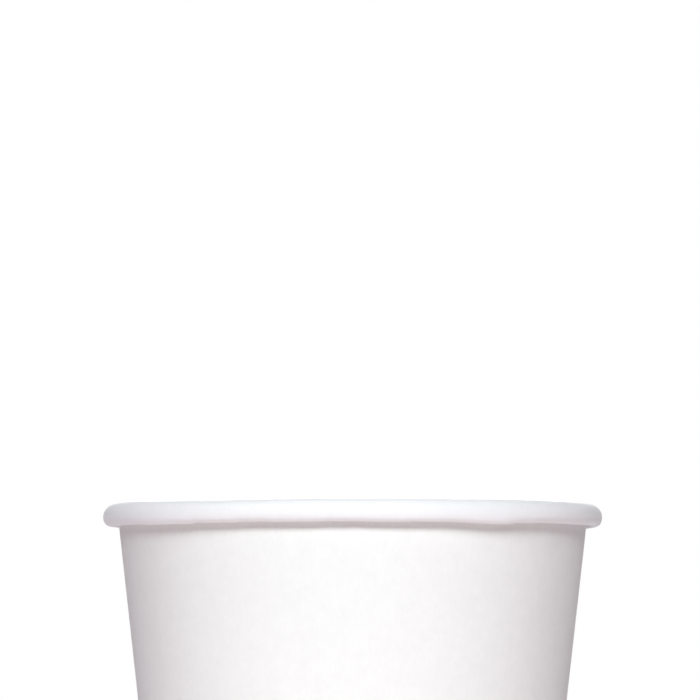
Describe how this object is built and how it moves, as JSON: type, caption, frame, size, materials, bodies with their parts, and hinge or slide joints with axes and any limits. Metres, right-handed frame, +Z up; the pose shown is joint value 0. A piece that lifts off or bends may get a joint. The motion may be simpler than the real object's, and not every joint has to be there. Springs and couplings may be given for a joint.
{
  "type": "paper food container",
  "caption": "Round tapered paper food container with a rolled rim, a lapped side seam and a recessed base, open at the top.",
  "frame": {"origin": "centre of the foot ring, in the plane that the container stands on", "axes": "+Z up along the container's axis, out of its mouth; +Y towards the lapped side seam, at the back of the container as it is pictured"},
  "size_m": [0.096, 0.096, 0.06],
  "materials": {
    "wall_board": "smooth white coated board, matt satin",
    "base_board": "smooth white coated board, satin"
  },
  "bodies": {
    "root": {"sidewall": "wall_board", "base_disc": "base_board"}
  },
  "joints": []
}
